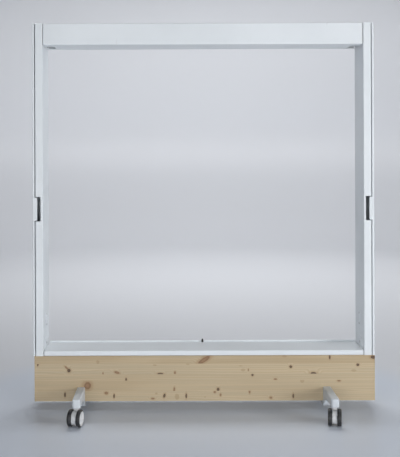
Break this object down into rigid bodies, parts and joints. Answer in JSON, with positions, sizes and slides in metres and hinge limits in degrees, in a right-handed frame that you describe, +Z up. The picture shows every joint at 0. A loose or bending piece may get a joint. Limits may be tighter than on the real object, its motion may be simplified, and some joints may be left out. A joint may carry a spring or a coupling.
{
  "type": "rolling partition wall frame",
  "caption": "Open white steel frame wall with shelf holes in its posts, on a glued timber plinth with outrigger arms and swivelling twin-wheel casters.",
  "frame": {"origin": "on the floor under the middle of the frame, at the centre of the bounding box's base", "axes": "+X to the right seen from the front, +Y to the back, +Z up"},
  "size_m": [1.402, 0.5566, 1.595],
  "materials": {
    "white_powder_coat": "satin powder coat",
    "spruce": "planed, unvarnished glued spruce with small knots",
    "zinc_steel": "zinc plated",
    "caster_grey": "fine texture",
    "hub_white": "smooth",
    "tyre_black": "smooth rubber",
    "arm_grey": "satin powder coat on a casting",
    "stop_black": "matt"
  },
  "bodies": {
    "wall": {"arm_bolts": "zinc_steel", "caster_stems": "zinc_steel", "cover_screws": "zinc_steel", "cradle_screws": "zinc_steel", "foot_screws": "zinc_steel", "front_left_arm": "arm_grey", "front_right_arm": "arm_grey", "header_bolts": "zinc_steel", "header_lid": "white_powder_coat", "header_profile": "white_powder_coat", "keeper_screws": "zinc_steel", "left_cover_standoffs": "zinc_steel", "left_cradle": "zinc_steel", "left_header_bracket": "white_powder_coat", "left_keeper_plate": "white_powder_coat", "left_post_cap": "white_powder_coat", "left_post_foot": "zinc_steel", "left_post_profile": "white_powder_coat", "left_side_cover": "white_powder_coat", "plinth_beam": "spruce", "rear_left_arm": "arm_grey", "rear_right_arm": "arm_grey", "right_cover_standoffs": "zinc_steel", "right_cradle": "zinc_steel", "right_header_bracket": "white_powder_coat", "right_keeper_plate": "white_powder_coat", "right_post_cap": "white_powder_coat", "right_post_foot": "zinc_steel", "right_post_profile": "white_powder_coat", "right_side_cover": "white_powder_coat", "sill_profile": "white_powder_coat", "sill_rear_strip": "white_powder_coat", "sill_screws": "zinc_steel", "sill_stop": "stop_black", "swivel_washers": "zinc_steel"},
    "front_left_swivel": {"front_left_housing": "caster_grey", "front_left_axle": "zinc_steel"},
    "front_left_left_wheel": {"front_left_left_hub": "hub_white", "front_left_left_tyre": "tyre_black"},
    "front_left_right_wheel": {"front_left_right_hub": "hub_white", "front_left_right_tyre": "tyre_black"},
    "front_right_swivel": {"front_right_housing": "caster_grey", "front_right_axle": "zinc_steel"},
    "front_right_left_wheel": {"front_right_left_hub": "hub_white", "front_right_left_tyre": "tyre_black"},
    "front_right_right_wheel": {"front_right_right_hub": "hub_white", "front_right_right_tyre": "tyre_black"},
    "rear_left_swivel": {"rear_left_housing": "caster_grey", "rear_left_axle": "zinc_steel"},
    "rear_left_left_wheel": {"rear_left_left_hub": "hub_white", "rear_left_left_tyre": "tyre_black"},
    "rear_left_right_wheel": {"rear_left_right_hub": "hub_white", "rear_left_right_tyre": "tyre_black"},
    "rear_right_swivel": {"rear_right_housing": "caster_grey", "rear_right_axle": "zinc_steel"},
    "rear_right_left_wheel": {"rear_right_left_hub": "hub_white", "rear_right_left_tyre": "tyre_black"},
    "rear_right_right_wheel": {"rear_right_right_hub": "hub_white", "rear_right_right_tyre": "tyre_black"}
  },
  "joints": [
    {"name": "front_left_swivel_turn", "type": "hinge", "parent": "wall", "child": "front_left_swivel", "pos_m": [-0.504, -0.226, 0.0685], "axis": [0, 0, 1], "continuous": true},
    {"name": "front_left_left_wheel_spin", "type": "hinge", "parent": "front_left_swivel", "child": "front_left_left_wheel", "pos_m": [-0.50733, -0.24165, 0.0325], "axis": [0.9781, -0.2079, 0], "continuous": true},
    {"name": "front_left_right_wheel_spin", "type": "hinge", "parent": "front_left_swivel", "child": "front_left_right_wheel", "pos_m": [-0.50733, -0.24165, 0.0325], "axis": [0.9781, -0.2079, 0], "continuous": true},
    {"name": "front_right_swivel_turn", "type": "hinge", "parent": "wall", "child": "front_right_swivel", "pos_m": [0.504, -0.226, 0.0685], "axis": [0, 0, 1], "continuous": true},
    {"name": "front_right_left_wheel_spin", "type": "hinge", "parent": "front_right_swivel", "child": "front_right_left_wheel", "pos_m": [0.50067, -0.24165, 0.0325], "axis": [0.9781, -0.2079, 0], "continuous": true},
    {"name": "front_right_right_wheel_spin", "type": "hinge", "parent": "front_right_swivel", "child": "front_right_right_wheel", "pos_m": [0.50067, -0.24165, 0.0325], "axis": [0.9781, -0.2079, 0], "continuous": true},
    {"name": "rear_left_swivel_turn", "type": "hinge", "parent": "wall", "child": "rear_left_swivel", "pos_m": [-0.504, 0.226, 0.0685], "axis": [0, 0, 1], "continuous": true},
    {"name": "rear_left_left_wheel_spin", "type": "hinge", "parent": "rear_left_swivel", "child": "rear_left_left_wheel", "pos_m": [-0.50067, 0.24165, 0.0325], "axis": [0.9781, -0.2079, 0], "continuous": true},
    {"name": "rear_left_right_wheel_spin", "type": "hinge", "parent": "rear_left_swivel", "child": "rear_left_right_wheel", "pos_m": [-0.50067, 0.24165, 0.0325], "axis": [0.9781, -0.2079, 0], "continuous": true},
    {"name": "rear_right_swivel_turn", "type": "hinge", "parent": "wall", "child": "rear_right_swivel", "pos_m": [0.504, 0.226, 0.0685], "axis": [0, 0, 1], "continuous": true},
    {"name": "rear_right_left_wheel_spin", "type": "hinge", "parent": "rear_right_swivel", "child": "rear_right_left_wheel", "pos_m": [0.50733, 0.24165, 0.0325], "axis": [0.9781, -0.2079, 0], "continuous": true},
    {"name": "rear_right_right_wheel_spin", "type": "hinge", "parent": "rear_right_swivel", "child": "rear_right_right_wheel", "pos_m": [0.50733, 0.24165, 0.0325], "axis": [0.9781, -0.2079, 0], "continuous": true}
  ]
}
